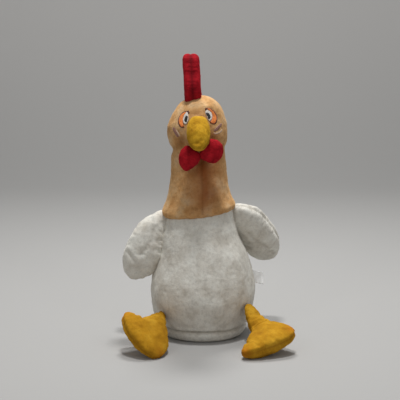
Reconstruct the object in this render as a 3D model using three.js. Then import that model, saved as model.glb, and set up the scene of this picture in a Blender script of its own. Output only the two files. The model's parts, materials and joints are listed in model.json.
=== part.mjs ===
// Seated stuffed chicken: cloth skins sewn over fibre filling, with sprung cloth hinges between them.
// Millimetres, +Z up, the chicken faces -Y, and "left" is the -X side.
import * as THREE from 'three';
import { mergeVertices } from 'three/addons/utils/BufferGeometryUtils.js';

// ---------- driving dimensions ----------

const CLOTH = 1.8; // backing and pile of the plush
const SEAM_GAP = 0.3; // between two sewn panels
const FILL_GAP = 0.5; // between the cloth and its filling

// the body is a pear, as [radius, height] up its side
const BODY_SIDE = [
  [46, 12], [50.5, 23], [53.6, 36], [54.9, 46], [54.4, 60], [52.2, 72], [49, 84], [45.4, 96],
  [41.4, 109], [37.9, 121], [36.2, 133.9],
];
const BODY_DEPTH = 0.95; // front to back, as a share of the width
const BASE_CONTACT_R = 39;
const BASE_RIM_Z = 11.7;
const PELLET_R = 37;
const PELLET_TOP_Z = 22;
const FILLING_BASE_Z = 24;

// the neck and the head, again as [radius, height]
const NECK_SIDE = [
  [37.2, 134.4], [39, 137.5], [37.2, 141.5], [34.2, 147], [32.2, 155], [30.9, 164], [29.6, 175],
  [28.7, 187], [27.6, 196],
];
const HEAD_SIDE = [
  [27.5, 196.6], [28.2, 202], [29.8, 208], [31.5, 214], [31.9, 221], [30.9, 228], [28.6, 234.5],
  [25.6, 241], [21.6, 247], [16, 251.8], [8.5, 255.1], [0, 256],
];
const HEAD_DEPTH = 0.97;
const LEAN = -0.06; // the neck and the head lean to the left by this much per millimetre of height
const NECK_ROOT = new THREE.Vector3(-1.5, 0, 138); // middle of the neck's ball in the body's filling
const NECK_BALL_R = 28;
const HEAD_ROOT_Z = 206; // middle of the head's ball in the neck's filling
const HEAD_BALL_R = 25;
const BALL_PLAY = 0.5;

// places of the features on the head, from the head's centre line
const BEAK_X = 2.6;
const COMB_X = -10.3;
const COMB_LEAN = -0.058;
const COMB_HALF = 8.5;

const WATTLE_HALF = 5.5;
const WATTLE_Y = -36;
const WING_HALF = 10;
// each wing hangs from its shoulder: splayed from the body, and swung back by an angle in degrees
const WINGS = {
  left: { root: [-46.6, -2, 122], splay: 25.5, swing: -5 },
  right: { root: [46.8, 2, 128.5], splay: 22, swing: 38 },
};
// each foot rests on its sole: where its ankle is, the way its width runs and the way it points
const FEET = {
  left: { root: [-45, -32.5, 28.45], out: [-0.756, 0.24, 0.609], forward: [-0.334, -0.937, -0.1] },
  right: { root: [46, -33, 29.62], out: [0.933, 0.282, 0.229], forward: [0.276, -0.92, -0.246] },
};
const FOOT_TOP = 8;
const FOOT_SOLE = 15;
const TAIL_HALF = 6;

// ---------- colours ----------

const WHITE = { color: 0xd8d4cf, roughness: 0.95 };
const TAN = { color: 0xbd9263, roughness: 0.95 };
const YELLOW = { color: 0xd6a11d, roughness: 0.95 };
const RED = { color: 0xa01428, roughness: 0.95 };
const ORANGE = { color: 0xd9772e, roughness: 0.8 };
const BLACK = { color: 0x16120f, roughness: 0.7 };
const MAUVE = { color: 0x7d4a52, roughness: 0.85 };
const FIBRE = { color: 0xe9e7e2, roughness: 1 };
const PELLETS = { color: 0xcfc8b8, roughness: 0.9 };

// ---------- solids ----------

const DEG = Math.PI / 180;
const X_AXIS = new THREE.Vector3(1, 0, 0);

const chicken = new THREE.Group();

function add(name, geometry, look) {
  const material = new THREE.MeshStandardMaterial({ ...look, metalness: 0 });
  const mesh = new THREE.Mesh(geometry, material);
  mesh.name = name;
  chicken.add(mesh);
}

/** One closed body from points and faces: coincident points are joined and flat slivers dropped. */
function body(points, faces) {
  const raw = new THREE.BufferGeometry();
  raw.setAttribute('position', new THREE.Float32BufferAttribute(points.flatMap((p) => p.toArray()), 3));
  raw.setIndex(faces.flat());
  const merged = mergeVertices(raw, 1e-3);
  const at = merged.getAttribute('position');
  const index = merged.getIndex().array;
  const kept = [];
  let volume = 0;
  for (let i = 0; i < index.length; i += 3) {
    const [a, b, c] = [index[i], index[i + 1], index[i + 2]];
    if (a === b || b === c || c === a) {
      continue;
    }
    const [pa, pb, pc] = [a, b, c].map((k) => new THREE.Vector3().fromBufferAttribute(at, k));
    volume += pa.dot(pb.cross(pc));
    kept.push([a, b, c]);
  }
  if (volume < 0) {
    kept.forEach((face) => face.reverse());
  }
  const result = new THREE.BufferGeometry();
  result.setAttribute('position', at);
  result.setIndex(kept.flat());
  result.computeVertexNormals();
  return result;
}

/** The two faces between neighbouring grid points a b (first row) and c d (next row). */
function quad(a, b, c, d) {
  return [[a, b, d], [a, d, c]];
}

/** A closed body through rings of equal length, closed at both ends on a point. */
function loft(rings, firstPoint, lastPoint) {
  const n = rings[0].length;
  const points = [...rings.flat(), firstPoint, lastPoint];
  const faces = [];
  for (let j = 0; j < n; j += 1) {
    const k = (j + 1) % n;
    for (let i = 0; i + 1 < rings.length; i += 1) {
      faces.push(...quad(i * n + j, i * n + k, (i + 1) * n + j, (i + 1) * n + k));
    }
    const last = (rings.length - 1) * n;
    faces.push([rings.length * n, k, j]);
    faces.push([rings.length * n + 1, last + j, last + k]);
  }
  return body(points, faces);
}

/** A closed body between an outer and an inner sheet, each a function of (u, v) from 0 to 1. */
function sheet(outer, inner, nu, nv) {
  const points = [];
  const faces = [];
  for (const side of [outer, inner]) {
    for (let i = 0; i <= nu; i += 1) {
      for (let j = 0; j <= nv; j += 1) {
        points.push(side(i / nu, j / nv));
      }
    }
  }
  const at = (side, i, j) => side * (nu + 1) * (nv + 1) + i * (nv + 1) + j;
  for (let i = 0; i < nu; i += 1) {
    for (let j = 0; j < nv; j += 1) {
      faces.push(...quad(at(0, i, j), at(0, i, j + 1), at(0, i + 1, j), at(0, i + 1, j + 1)));
      faces.push(...quad(at(1, i, j + 1), at(1, i, j), at(1, i + 1, j + 1), at(1, i + 1, j)));
    }
  }
  for (let i = 0; i < nu; i += 1) {
    faces.push(...quad(at(0, i + 1, 0), at(1, i + 1, 0), at(0, i, 0), at(1, i, 0)));
    faces.push(...quad(at(0, i, nv), at(1, i, nv), at(0, i + 1, nv), at(1, i + 1, nv)));
  }
  for (let j = 0; j < nv; j += 1) {
    faces.push(...quad(at(0, 0, j), at(1, 0, j), at(0, 0, j + 1), at(1, 0, j + 1)));
    faces.push(...quad(at(0, nu, j + 1), at(1, nu, j + 1), at(0, nu, j), at(1, nu, j)));
  }
  return body(points, faces);
}

// ---------- skins of revolution ----------

/** A smooth side curve, and the same curve drawn in by a depth along its own normal. */
function sideCurve(corners) {
  const curve = new THREE.SplineCurve(corners.map(([r, z]) => new THREE.Vector2(r, z)));
  return (v, depth = 0) => {
    const at = curve.getPoint(v);
    const along = curve.getTangent(v);
    const inward = new THREE.Vector2(-along.y, along.x);
    return at.x < 0.01 ? new THREE.Vector2(0, at.y - depth) : at.addScaledVector(inward, depth);
  };
}

const bodySide = sideCurve(BODY_SIDE);
const neckSide = sideCurve(NECK_SIDE);
const headSide = sideCurve(HEAD_SIDE);

function leanX(z) {
  return NECK_ROOT.x + LEAN * (z - 134);
}

function round(turn, r, z, x = 0, depth = 1) {
  const angle = turn * 2 * Math.PI;
  return new THREE.Vector3(x + r * Math.cos(angle), r * depth * Math.sin(angle), z);
}

function circle(n, r, z, x = 0, depth = 1) {
  return Array.from({ length: n }, (_, k) => round(k / n, r, z, x, depth));
}

/** A sewn panel of a skin: the part of it between two turns, moved off its neighbours by a shift. */
function skinPanel(side, [from, to], shift, leans, depth, nu, nv) {
  const layer = (thickness) => (u, v) => {
    const p = side(v, thickness);
    const r = Math.max(p.x, 0);
    const x = leans ? leanX(p.y) : 0;
    return round(from + (to - from) * u, r, p.y, x, depth).add(shift);
  };
  return sheet(layer(0), layer(CLOTH), nu, nv);
}

const half = SEAM_GAP / 2;
const BACK = new THREE.Vector3(0, half, 0);
const FRONT = new THREE.Vector3(0, -half, 0);
const LEFT = new THREE.Vector3(-half, 0, 0);
const RIGHT = new THREE.Vector3(half, 0, 0);

// ---------- torso ----------

function torso() {
  const panel = (turns, shift, nu) => skinPanel(bodySide, turns, shift, false, BODY_DEPTH, nu, 10);
  add('body_front_panel', panel([0.5, 1], FRONT, 16), WHITE);
  add('body_back_left_panel', panel([0.25, 0.5], BACK.clone().add(LEFT), 8), WHITE);
  add('body_back_right_panel', panel([0, 0.25], BACK.clone().add(RIGHT), 8), WHITE);

  const n = 28;
  const flat = (r, z) => circle(n, r, z, 0, BODY_DEPTH);
  const base = [
    flat(BASE_CONTACT_R, 0), flat(43.4, 2.2), flat(45.4, 6.2), flat(46, BASE_RIM_Z),
    flat(46 - CLOTH, BASE_RIM_Z), flat(43.7, 7), flat(42, 3.6), flat(38.4, CLOTH),
  ];
  add('bottom_panel', loft(base, new THREE.Vector3(), new THREE.Vector3(0, 0, CLOTH)), WHITE);

  const pelletRings = [
    [0.8, 2.6], [0.97, 4.6], [1, 9], [0.97, 15], [0.75, 20.5],
  ].map(([share, z]) => circle(18, PELLET_R * share, z, 0, BODY_DEPTH));
  const pelletTop = new THREE.Vector3(0, 0, PELLET_TOP_Z);
  add('pellet_bag', loft(pelletRings, new THREE.Vector3(0, 0, 2.4), pelletTop), PELLETS);

  // the filling has a round dish in its top, where the neck's filling sits
  const filling = [flat(45, FILLING_BASE_Z)];
  for (let i = 2; i <= 10; i += 1) {
    const p = bodySide(i / 10, CLOTH + FILL_GAP);
    filling.push(flat(p.x, Math.min(p.y, 133)));
  }
  const dishR = NECK_BALL_R + BALL_PLAY;
  for (const tilt of [-10.2, -28, -46, -64, -80]) {
    filling.push(ballRing(n, dishR, tilt, NECK_ROOT));
  }
  const dishFoot = NECK_ROOT.clone().add(new THREE.Vector3(0, 0, -dishR));
  add('body_stuffing', loft(filling, new THREE.Vector3(0, 0, FILLING_BASE_Z), dishFoot), FIBRE);

  const label = (y) => (u, v) => new THREE.Vector3(55.3 + 8.6 * u, y, 55.2 + 12.4 * v - 0.8 * u);
  add('sewn_in_label', sheet(label(-0.3), label(0.3), 4, 3), WHITE);
}

/** A ring of a ball at a tilt in degrees from its equator. */
function ballRing(n, r, tilt, middle) {
  const a = THREE.MathUtils.degToRad(tilt);
  return circle(n, r * Math.cos(a), middle.z + r * Math.sin(a), middle.x);
}

// ---------- neck and head ----------

const HEAD_ROOT = new THREE.Vector3(leanX(HEAD_ROOT_Z), 0, HEAD_ROOT_Z);

function neck() {
  const panel = (turns, shift) => skinPanel(neckSide, turns, shift, true, HEAD_DEPTH, 12, 8);
  add('neck_left_panel', panel([0.25, 0.75], LEFT), TAN);
  add('neck_right_panel', panel([-0.25, 0.25], RIGHT), TAN);

  const n = 24;
  const rings = [-72, -50, -28, -10].map((tilt) => ballRing(n, NECK_BALL_R, tilt, NECK_ROOT));
  for (const [r, z] of [[28.2, 146], [28.6, 156], [28, 166], [27, 176], [26.2, 186]]) {
    rings.push(circle(n, r, z, leanX(z), HEAD_DEPTH));
  }
  const dishR = HEAD_BALL_R + BALL_PLAY;
  for (const tilt of [-52, -64, -77]) {
    rings.push(ballRing(n, dishR, tilt, HEAD_ROOT));
  }
  const foot = NECK_ROOT.clone().add(new THREE.Vector3(0, 0, -NECK_BALL_R));
  const dishFoot = HEAD_ROOT.clone().add(new THREE.Vector3(0, 0, -dishR));
  add('neck_stuffing', loft(rings, foot, dishFoot), FIBRE);
}

function head() {
  const panel = (turns, shift) => skinPanel(headSide, turns, shift, true, HEAD_DEPTH, 12, 9);
  add('head_left_panel', panel([0.25, 0.75], LEFT), TAN);
  add('head_right_panel', panel([-0.25, 0.25], RIGHT), TAN);

  const n = 24;
  const rings = [-72, -50, -28, -8].map((tilt) => ballRing(n, HEAD_BALL_R, tilt, HEAD_ROOT));
  const depth = CLOTH + 1.5 * FILL_GAP;
  for (let i = 2; i <= 8; i += 1) {
    const p = headSide(i / 9, depth);
    rings.push(circle(n, p.x, p.y, leanX(p.y), HEAD_DEPTH));
  }
  const foot = HEAD_ROOT.clone().add(new THREE.Vector3(0, 0, -HEAD_BALL_R));
  const crown = new THREE.Vector3(leanX(256), 0, 256 - depth);
  add('head_stuffing', loft(rings, foot, crown), FIBRE);
}

/** A point on the front of the head, lifted off the cloth. x is from the head's centre line. */
function onFace(x, z, lift) {
  let r = 0;
  for (let v = 0; v < 1; v += 0.005) {
    const p = headSide(v);
    if (p.y <= z) {
      r = p.x;
    }
  }
  const side = Math.sqrt(Math.max(r * r - x * x, 0));
  const normal = new THREE.Vector3(x / r, -side / r, (z - 216) / 50).normalize();
  return new THREE.Vector3(leanX(z) + x, -HEAD_DEPTH * side, z).addScaledVector(normal, lift);
}

/** An embroidered crescent on the face, along three points, widest in its middle. */
function crescent(name, [start, middle, end], width, look) {
  const curve = new THREE.QuadraticBezierCurve(
    new THREE.Vector2(...start),
    new THREE.Vector2(...middle),
    new THREE.Vector2(...end),
  );
  const layer = (lift) => (u, v) => {
    const at = curve.getPoint(u);
    const along = curve.getTangent(u);
    const reach = (v - 0.5) * width * (0.3 + 0.7 * Math.sin(Math.PI * u));
    return onFace(at.x - along.y * reach, at.y + along.x * reach, lift);
  };
  add(name, sheet(layer(1.3), layer(0.4), 8, 2), look);
}

function faceMarks() {
  crescent('eye_left_orange', [[-10.8, 241.8], [-20, 234], [-13.6, 226.8]], 4.6, ORANGE);
  crescent('eye_left_white', [[-8.6, 239.6], [-15.4, 234.4], [-10.2, 229]], 1.4, WHITE);
  crescent('eye_left_black', [[-8.9, 237.2], [-10.6, 234.2], [-10.1, 231.2]], 2.2, BLACK);
  crescent('eye_right_orange', [[10, 245.6], [21.6, 239], [15.8, 230.2]], 5, ORANGE);
  crescent('eye_right_white', [[8.6, 243], [15.6, 238.6], [12.8, 231.8]], 1.4, WHITE);
  crescent('eye_right_black', [[8.4, 240.4], [11.2, 238], [11.1, 234.6]], 2.2, BLACK);
  crescent('cheek_mark_left', [[-23.6, 225.6], [-22.6, 221], [-20, 216.8]], 1.8, MAUVE);
  crescent('cheek_mark_right', [[18.6, 224.6], [21.6, 225.8], [25.6, 230]], 1.8, MAUVE);
}

/** A ring of the beak, tilted to droop: half its width and height, and where its middle is. */
function beakRing(n, halfWidth, halfHeight, y, z) {
  const x = leanX(z) + BEAK_X;
  return Array.from({ length: n }, (_, k) => {
    const angle = (2 * Math.PI * k) / n;
    return new THREE.Vector3(x + halfWidth * Math.cos(angle), y, z + halfHeight * Math.sin(angle));
  });
}

/** The beak's root lies on the face: narrow at the brow and wide at the cheeks. */
function beakRoot(n, drawnIn, lift) {
  return Array.from({ length: n }, (_, k) => {
    const angle = (2 * Math.PI * k) / n;
    const rise = Math.sin(angle);
    const halfWidth = 10.4 - 2.2 * rise - drawnIn;
    return onFace(BEAK_X + halfWidth * Math.cos(angle), 224.4 + (12.4 - drawnIn) * rise, lift);
  });
}

function beak() {
  const n = 16;
  const outer = [
    beakRoot(n, 0, 0.5), beakRing(n, 11.8, 11.4, -37.5, 222.5), beakRing(n, 11, 9.4, -45, 217),
    beakRing(n, 8, 6.6, -51.5, 211),
  ];
  const inner = [
    beakRing(n, 6, 4.8, -49.8, 212), beakRing(n, 9.2, 7.6, -44, 217.6),
    beakRing(n, 10, 9.6, -37.5, 222.5), beakRoot(n, CLOTH, 0.5),
  ];
  const tip = new THREE.Vector3(leanX(206) + BEAK_X, -55, 206);
  const innerTip = new THREE.Vector3(leanX(206) + BEAK_X, -52.4, 208.4);
  const cover = [...outer].reverse().concat([...inner].reverse());
  add('beak_cover', loft(cover, tip, innerTip), YELLOW);

  const fill = CLOTH + FILL_GAP;
  const stuffing = [
    beakRoot(n, fill, 0.9), beakRing(n, 9.4, 9, -37.5, 222.5), beakRing(n, 8.6, 7, -43.6, 217.6),
    beakRing(n, 5, 4, -48.8, 212.6),
  ];
  const root = onFace(BEAK_X, 224.4, 0.9);
  const end = new THREE.Vector3(leanX(206) + BEAK_X, -51, 210);
  add('beak_stuffing', loft(stuffing, root, end), FIBRE);
}

// ---------- flat cushions: comb, wattles, wings, feet and tail ----------

/** An outline drawn in by a depth along its own normals. */
function drawnIn(outline, depth) {
  const n = outline.length;
  return outline.map((p, k) => {
    const before = outline[(k + n - 1) % n];
    const after = outline[(k + 1) % n];
    const along = after.clone().sub(before).normalize();
    return new THREE.Vector2(p.x - along.y * depth, p.y + along.x * depth);
  });
}

/**
 * A cushion of two panels and a filling. The outline is in (u, v), and place turns (u, v, w) into a
 * point, with w towards the first panel. Heights are from the seam's plane.
 */
function cushion(names, corners, count, middle, place, [above, below], square, look) {
  const closed = new THREE.CatmullRomCurve3(
    corners.map(([u, v]) => new THREE.Vector3(u, v, 0)),
    true,
    'centripetal',
  );
  const outline = closed.getSpacedPoints(count).slice(0, count).map((p) => new THREE.Vector2(p.x, p.y));
  if (THREE.ShapeUtils.area(outline) < 0) {
    outline.reverse();
  }
  const centre = new THREE.Vector2(...middle);
  const steps = [0, 0.1, 0.32, 0.65];
  const swell = (s) => Math.pow(1 - Math.pow(1 - s, square), 1 / 2);

  const ring = (edge, s, base, height, side) => edge.map((p) => {
    const at = p.clone().lerp(centre, s);
    return place(at.x, at.y, side * (base + height * swell(s)));
  });
  const top = (base, height, side) => place(centre.x, centre.y, side * (base + height));
  const inside = drawnIn(outline, CLOTH);
  const within = drawnIn(outline, CLOTH + FILL_GAP);

  for (const [name, height, side] of [[names[0], above, 1], [names[1], below, -1]]) {
    const rim = half + 0.9;
    const outer = [...steps].reverse().map((s) => ring(outline, s, rim, height - rim, side));
    const seam = [ring(outline, 0, half, 0, side)];
    const inner = steps.map((s) => ring(inside, s, half, height - CLOTH - half, side));
    const rings = [...outer, ...seam, ...inner];
    add(name, loft(rings, top(rim, height - rim, side), top(half, height - CLOTH - half, side)), look);
  }
  const fill = CLOTH + FILL_GAP;
  const rings = [
    ...[...steps].reverse().map((s) => ring(within, s, 0.1, above - fill - 0.1, 1)),
    ...steps.map((s) => ring(within, s, 0.1, below - fill - 0.1, -1)),
  ];
  add(names[2], loft(rings, top(0.1, above - fill - 0.1, 1), top(0.1, below - fill - 0.1, -1)), FIBRE);
}

function comb() {
  // seen from the side: a tall lobe at the front with a small step, and a lower lobe behind
  const corners = [
    [20.5, 249], [24.5, 254], [27, 262], [27.5, 274], [23, 282], [17, 283], [13, 281], [10, 289],
    [5, 298.5], [0, 300], [-6, 297.5], [-10.5, 290], [-12.5, 280], [-15.5, 276.5],
    [-17.5, 269], [-17.5, 260], [-15.5, 253.5], [-11, 256], [0, 257.8], [11, 256],
  ];
  const place = (y, z, w) => new THREE.Vector3(COMB_X + COMB_LEAN * (z - 257) - w, y, z);
  const names = ['comb_left_panel', 'comb_right_panel', 'comb_stuffing'];
  cushion(names, corners, 28, [0, 272], place, [COMB_HALF, COMB_HALF], 3, RED);
}

function wattles() {
  const lobes = {
    left: [
      [1.5, 195], [0.5, 201], [-4.6, 205.5], [-10.7, 206.5], [-15.8, 203], [-17.8, 195],
      [-16.8, 187.5], [-12.7, 181.5], [-7.6, 179.6], [-2.5, 182.5], [0.5, 188.6],
    ],
    right: [
      [3.6, 193], [8.7, 189.7], [14.8, 188.6], [21.9, 192], [27, 198], [28, 205.2], [24.9, 211.3],
      [19.8, 214.2], [13.7, 212.8], [7.4, 207.4], [3.9, 200],
    ],
  };
  const middles = { left: [-8.5, 193], right: [16, 202] };
  for (const side of ['left', 'right']) {
    const place = (x, z, w) => new THREE.Vector3(leanX(222) + x, WATTLE_Y - w, z);
    const names = ['front_panel', 'back_panel', 'stuffing'].map((part) => `wattle_${side}_${part}`);
    const heights = [WATTLE_HALF, WATTLE_HALF];
    cushion(names, lobes[side], 16, middles[side], place, heights, 2, RED);
  }
}

/** A frame for a limb: out is across it, away from the body; down is along it; w is their normal. */
function limb(root, out, down, flip) {
  const along = down.clone().normalize();
  const across = out.clone().addScaledVector(along, -out.dot(along)).normalize();
  const normal = new THREE.Vector3().crossVectors(across, along).multiplyScalar(flip);
  return (u, v, w) => root.clone()
    .addScaledVector(across, u)
    .addScaledVector(along, v)
    .addScaledVector(normal, w);
}

function wings() {
  const corners = [
    [-1, -8], [-6, -5], [-6.6, 3], [-7.6, 16], [-11, 28], [-13.4, 41], [-14.6, 47], [-11, 57],
    [-5, 65.5], [2.3, 68.8], [9, 65.4], [14.2, 56], [16.2, 42], [15.1, 26], [13, 10], [7.4, -2],
  ];
  for (const side of ['left', 'right']) {
    const { root, splay, swing } = WINGS[side];
    const hand = side === 'left' ? -1 : 1;
    const turned = (x, z) => new THREE.Vector3(hand * x, 0, z).applyAxisAngle(X_AXIS, swing * DEG);
    const out = turned(Math.cos(splay * DEG), Math.sin(splay * DEG));
    const down = turned(Math.sin(splay * DEG), -Math.cos(splay * DEG));
    const place = limb(new THREE.Vector3(...root), out, down, -hand);
    const names = ['front_panel', 'back_panel', 'stuffing'].map((part) => `wing_${side}_${part}`);
    cushion(names, corners, 22, [1, 34], place, [WING_HALF, WING_HALF], 2, WHITE);
  }
}

function feet() {
  const corners = [
    [0, -1], [-6, 1], [-7.5, 9], [-11.5, 21], [-19, 35], [-27, 49], [-29.5, 56], [-26, 61.5],
    [-17, 62.5], [-6, 63.5], [6, 64], [18, 63.5], [27, 61.5], [31, 55.5], [28, 46], [20, 31],
    [13, 18], [9, 8], [6, 1],
  ];
  for (const side of ['left', 'right']) {
    const { root, out, forward } = FEET[side];
    const place = limb(
      new THREE.Vector3(...root),
      new THREE.Vector3(...out),
      new THREE.Vector3(...forward),
      side === 'left' ? 1 : -1,
    );
    const names = ['top_panel', 'sole_panel', 'stuffing'].map((part) => `foot_${side}_${part}`);
    cushion(names, corners, 24, [0, 42], place, [FOOT_TOP, FOOT_SOLE], 3.4, YELLOW);
  }
}

function tail() {
  const corners = [
    [5, 0], [12, 8], [18, 18], [19, 26], [14, 28.5], [9, 27], [5, 32.5], [0, 35], [-5, 32.5],
    [-9, 27], [-14, 28.5], [-19, 26], [-18, 18], [-12, 8], [-5, 0], [0, -0.8],
  ];
  const root = new THREE.Vector3(0, 54.5, 49);
  const place = limb(root, new THREE.Vector3(1, 0, 0), new THREE.Vector3(0, 0.75, 0.66), -1);
  const names = ['tail_under_panel', 'tail_top_panel', 'tail_stuffing'];
  cushion(names, corners, 18, [0, 16], place, [TAIL_HALF, TAIL_HALF], 2, WHITE);
}

torso();
neck();
head();
faceMarks();
beak();
comb();
wattles();
wings();
feet();
tail();

export default chicken;
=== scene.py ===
"""A seated stuffed chicken in short plush: its looks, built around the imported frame.

Shapes are worked out in millimetres and become metres when a mesh is made. The chicken faces -Y,
and left is the -X side.
"""
import json
import math

import bpy
import numpy as np
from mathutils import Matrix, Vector, noise
from mathutils.bvhtree import BVHTree
from mathutils.geometry import delaunay_2d_cdt
from mathutils.kdtree import KDTree


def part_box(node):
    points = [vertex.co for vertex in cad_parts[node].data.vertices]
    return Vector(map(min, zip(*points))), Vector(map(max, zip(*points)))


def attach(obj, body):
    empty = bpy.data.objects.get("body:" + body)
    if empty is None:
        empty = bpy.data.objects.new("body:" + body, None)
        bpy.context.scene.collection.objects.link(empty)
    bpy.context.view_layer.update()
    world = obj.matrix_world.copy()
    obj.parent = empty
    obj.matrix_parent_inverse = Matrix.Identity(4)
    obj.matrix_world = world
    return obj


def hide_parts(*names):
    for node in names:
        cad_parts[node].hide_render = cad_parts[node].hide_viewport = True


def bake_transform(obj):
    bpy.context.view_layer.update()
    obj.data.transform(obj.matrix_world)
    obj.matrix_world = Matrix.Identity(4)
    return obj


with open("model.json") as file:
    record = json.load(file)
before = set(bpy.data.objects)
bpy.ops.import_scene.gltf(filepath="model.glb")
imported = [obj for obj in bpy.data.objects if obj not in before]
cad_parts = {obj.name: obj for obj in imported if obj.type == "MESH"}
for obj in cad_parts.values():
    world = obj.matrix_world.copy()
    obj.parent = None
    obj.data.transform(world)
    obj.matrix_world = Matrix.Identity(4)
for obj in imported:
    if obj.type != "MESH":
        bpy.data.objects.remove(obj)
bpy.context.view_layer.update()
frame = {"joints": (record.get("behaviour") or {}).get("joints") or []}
MM = 0.001
HAND = {"left": -1, "right": 1}  # which way each side lies along X

# ---------- measures, in millimetres ----------

SKIN_STEP = 1.25  # between the points of the body's and the head's cloth
CUSHION_STEP = 2.3  # between the points of a flat cut before it is stuffed
THREAD_STEP = 0.36  # between the points of an embroidered patch

BODY_COLS, HEAD_COLS, BEAK_COLS = 284, 176, 90  # points round each skin
SIM_SCALE = 8  # the cloth solver works best on pieces this much larger
SIM_FRAMES = 22

BASE_R = 39
BASE_SEAM_Z = 12
BASE_SEAM_R = 46.2
# [radius, height] up the side of the body, from where it meets the floor to the collar
BODY_SIDE = [
    [BASE_R, 0], [43.4, 2.2], [45.4, 6.2], [46, 11.7], [50.5, 23], [53.6, 36], [54.9, 46],
    [54.4, 60], [52.2, 72], [49, 84], [45.4, 96], [41.4, 109], [38.4, 121], [37, 129],
    [36.4, 133.5],
]
BODY_DEPTH = 0.95  # over the width
COLLAR_Z = 134
COLLAR_TILT = 4.4  # the collar's seam is this much higher at the right than at its middle
COLLAR_DROP = 0.8  # and all of it is this much lower
COLLAR_REACH = 15  # the tilt of the collar fades out over this height

# [radius, height] up the neck and the head
HEAD_SIDE = [
    [36.6, 133.2], [38.6, 135.4], [39, 138.5], [37.2, 142.5], [34.4, 148], [32.3, 155], [30.9, 164],
    [29.6, 175], [28.7, 187], [28, 196], [28.3, 202], [29.8, 208], [31.2, 214], [31.4, 221],
    [30.4, 228], [27.9, 234.5], [24.8, 241], [20.8, 247], [15.6, 251.8], [8.4, 255.1], [0.4, 256],
]
HEAD_DEPTH = 0.97
LEAN = -0.06  # the face's middle moves to the left as it rises
LEAN_X = -1.5  # where that line starts, at the collar
# [height, x] of the middle of the neck and the head
HEAD_MIDDLE = [
    [134, -4.9], [150, -3.9], [165, -3.8], [180, -4.2], [200, -4.9], [215, -5.7], [224, -6.1],
    [235, -5.2], [245, -3.7], [256, -3.0],
]
BODY_SHIFT = -4  # the shoulders sit this far to the left, from SHIFT_TO up
SHIFT_FROM = 85
SHIFT_TO = 112
SPLIT_Z = 178  # where the neck's cloth hands over to the head's
NECK_SHADE = 0.95  # how strongly painted shadow darkens the front of the neck

BEAK_X = 2.1  # from the face's middle
COMB_X = -10.3
COMB_Z = 257  # where the comb's middle is at COMB_X
COMB_LEAN = -0.058  # to the left as it rises
WATTLE_Y = -36  # the wattles hang in one upright plane
WATTLE_Z = 222  # their x counts from the face's middle at this height
BEAK_Z = 212  # and so does the x of the beak's creases, here
LABEL_CAUGHT = 3.2  # of the label's width, in the seam
LABEL_THICK = 0.5
TAIL_ROOT = (0, 54.5, 49)
TAIL_WAY = (0, 0.75, 0.66)

# where the cloth between two bodies would start and stop bending, in metres; the points worked out from
# these are not used, and nothing bends
WATTLE_BEND = 0.004  # above and below the joint
FOOT_BEND = -3, 11  # millimetres along the leg

# how the cloth solver stuffs a cushion
STUFFING = {
    "quality": 6, "mass": 0.2, "tension_stiffness": 12, "compression_stiffness": 12,
    "shear_stiffness": 6, "bending_stiffness": 0.35, "use_pressure": True,
    "uniform_pressure_force": 4, "vertex_group_shrink": "seam", "shrink_min": 0,
}


# ---------- curves and meshes ----------


def smooth_line(points, step, closed=False):
    """A smooth curve through the points, sampled about every step."""
    known = np.array(points, float)
    if closed:
        known = np.concatenate([known[-1:], known, known[:2]])
    else:
        known = np.concatenate([[2 * known[0] - known[1]], known, [2 * known[-1] - known[-2]]])
    fine = []
    for a, b, c, d in zip(known, known[1:], known[2:], known[3:]):
        for t in np.linspace(0, 1, 24, endpoint=False):
            fine.append(
                0.5 * (2 * b + (c - a) * t + (2 * a - 5 * b + 4 * c - d) * t**2
                       + (3 * b - a - 3 * c + d) * t**3)
            )
    fine = np.array([*fine, known[-2]])
    reach = np.r_[0, np.cumsum(np.linalg.norm(np.diff(fine, axis=0), axis=1))]
    count = max(3, round(reach[-1] / step))
    at = np.linspace(0, reach[-1], count + 1)
    if closed:
        at = at[:-1]
    return np.column_stack([np.interp(at, reach, fine[:, k]) for k in range(known.shape[1])])


def new_object(name, points, faces):
    mesh = bpy.data.meshes.new(name)
    mesh.from_pydata((np.asarray(points, float) * MM).tolist(), [], faces)
    mesh.shade_smooth()
    obj = bpy.data.objects.new(name, mesh)
    bpy.context.scene.collection.objects.link(obj)
    return obj


def vectors(items, key):
    """A vector of each of a mesh's items, as the rows of an array."""
    out = np.empty(len(items) * 3, np.float32)
    items.foreach_get(key, out)
    return out.reshape(-1, 3).astype(float)


def points_of(obj):
    return vectors(obj.data.vertices, "co") / MM


def set_points(obj, points):
    obj.data.vertices.foreach_set("co", (points * MM).astype(np.float32).ravel())
    obj.data.update()


def normals_of(obj):
    return vectors(obj.data.vertex_normals, "vector")


def keep_above(obj, floor):
    points = points_of(obj)
    points[:, 2] = np.maximum(points[:, 2], floor)
    set_points(obj, points)


def push(obj, amounts):
    """Moves each point along its normal."""
    set_points(obj, points_of(obj) + normals_of(obj) * np.asarray(amounts)[:, None])


def rings_mesh(rings):
    """Points and faces of a closed body from rings of points, each end closed by a middle point."""
    rows, cols = len(rings), len(rings[0])
    points = np.concatenate([*rings, [np.mean(rings[0], axis=0)], [np.mean(rings[-1], axis=0)]])
    first, last = rows * cols, rows * cols + 1
    faces = []
    for i in range(rows - 1):
        for k in range(cols):
            j = (k + 1) % cols
            faces.append((i * cols + k, i * cols + j, (i + 1) * cols + j, (i + 1) * cols + k))
    for k in range(cols):
        j = (k + 1) % cols
        faces.append((first, j, k))
        faces.append((last, (rows - 1) * cols + k, (rows - 1) * cols + j))
    return points, faces


def face_outwards(obj):
    """Turns a closed mesh's faces round where its volume comes out below zero."""
    mesh = obj.data
    mesh.calc_loop_triangles()
    corners = [[mesh.vertices[k].co for k in t.vertices] for t in mesh.loop_triangles]
    if sum(a.dot(b.cross(c)) for a, b, c in corners) < 0:
        mesh.flip_normals()


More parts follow.
